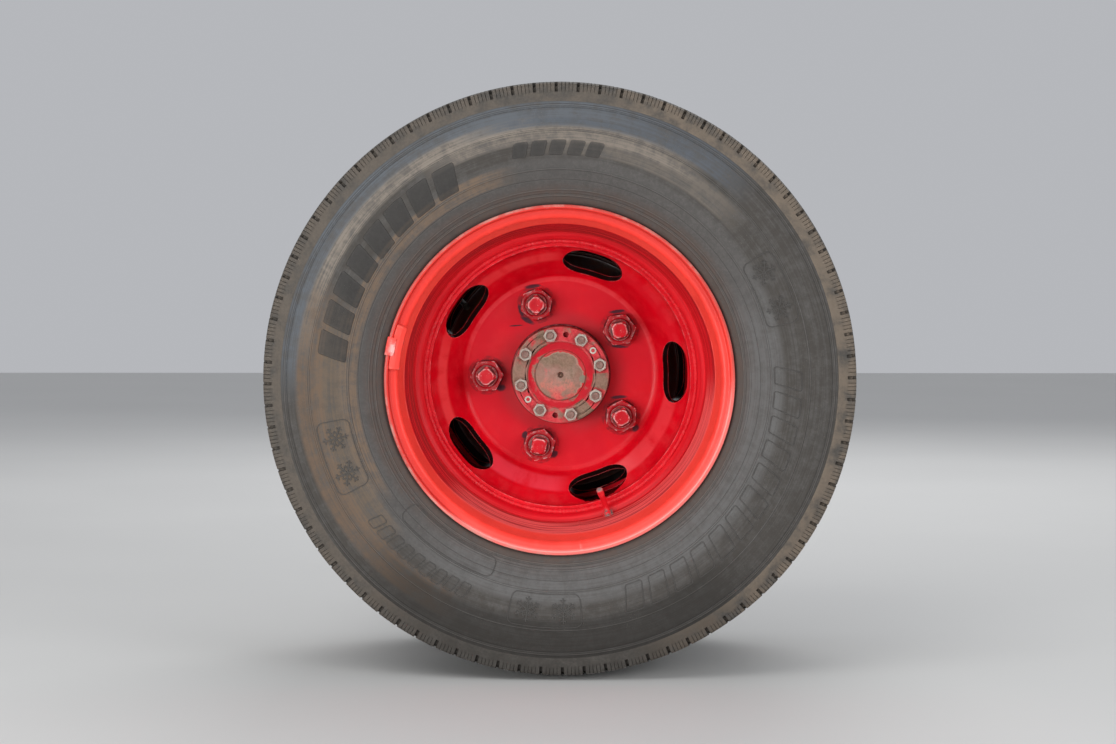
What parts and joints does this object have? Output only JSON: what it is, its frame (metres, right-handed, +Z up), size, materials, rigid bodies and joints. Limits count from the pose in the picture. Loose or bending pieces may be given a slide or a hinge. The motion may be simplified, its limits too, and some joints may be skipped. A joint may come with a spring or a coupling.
{
  "type": "rear twin wheel end of a truck",
  "caption": "Twin tyred disc wheels on a full-floating hub with brake drum and drive shaft, turning on a flanged spindle.",
  "frame": {"origin": "on the wheel's axis, in the spindle flange's mounting face", "axes": "+Y inboard along the axle, out of the mounting face; +Z up; -Y is the roadside"},
  "size_m": [0.8049, 1.0005, 0.805],
  "materials": {
    "tyre": "matt black rubber with road dust",
    "wheel_paint": "satin orange-red enamel",
    "disc_paint": "glossy red enamel",
    "hub_paint": "glossy red enamel",
    "nut_paint": "red enamel, chipped at the edges",
    "valve_paint": "red enamel on brass",
    "worn_flange": "forged steel with worn red paint",
    "cast_iron": "rough casting with light rust",
    "plated_steel": "dull plated steel",
    "ground_steel": "ground steel",
    "black_steel": "satin black chassis paint",
    "rubber": "matt black rubber",
    "brass": "dull brass"
  },
  "bodies": {
    "axle_end": {"spindle": "black_steel", "lock_nut": "ground_steel", "backing_plate": "black_steel", "inspection_plugs": "rubber", "cylinder_bolts": "plated_steel", "pipe_union": "plated_steel", "bleed_screw": "plated_steel"},
    "wheel": {"outer_tyre": "tyre", "inner_tyre": "tyre", "outer_rim": "wheel_paint", "inner_rim": "wheel_paint", "outer_disc": "disc_paint", "inner_disc": "disc_paint", "hub": "hub_paint", "brake_drum": "cast_iron", "axle_shaft": "worn_flange", "wheel_studs": "plated_steel", "cap_nuts": "nut_paint", "outer_nuts": "nut_paint", "flange_studs": "plated_steel", "flange_nuts": "plated_steel", "flange_dowels": "plated_steel", "outer_bearing": "ground_steel", "inner_bearing": "ground_steel", "oil_seal": "rubber", "outer_valve": "valve_paint", "inner_valve": "brass", "balance_weight": "wheel_paint", "weight_clip": "wheel_paint"}
  },
  "joints": [
    {"name": "wheel_spin", "type": "hinge", "parent": "axle_end", "child": "wheel", "pos_m": [0, 0, 0], "axis": [0, 1, 0], "continuous": true}
  ]
}
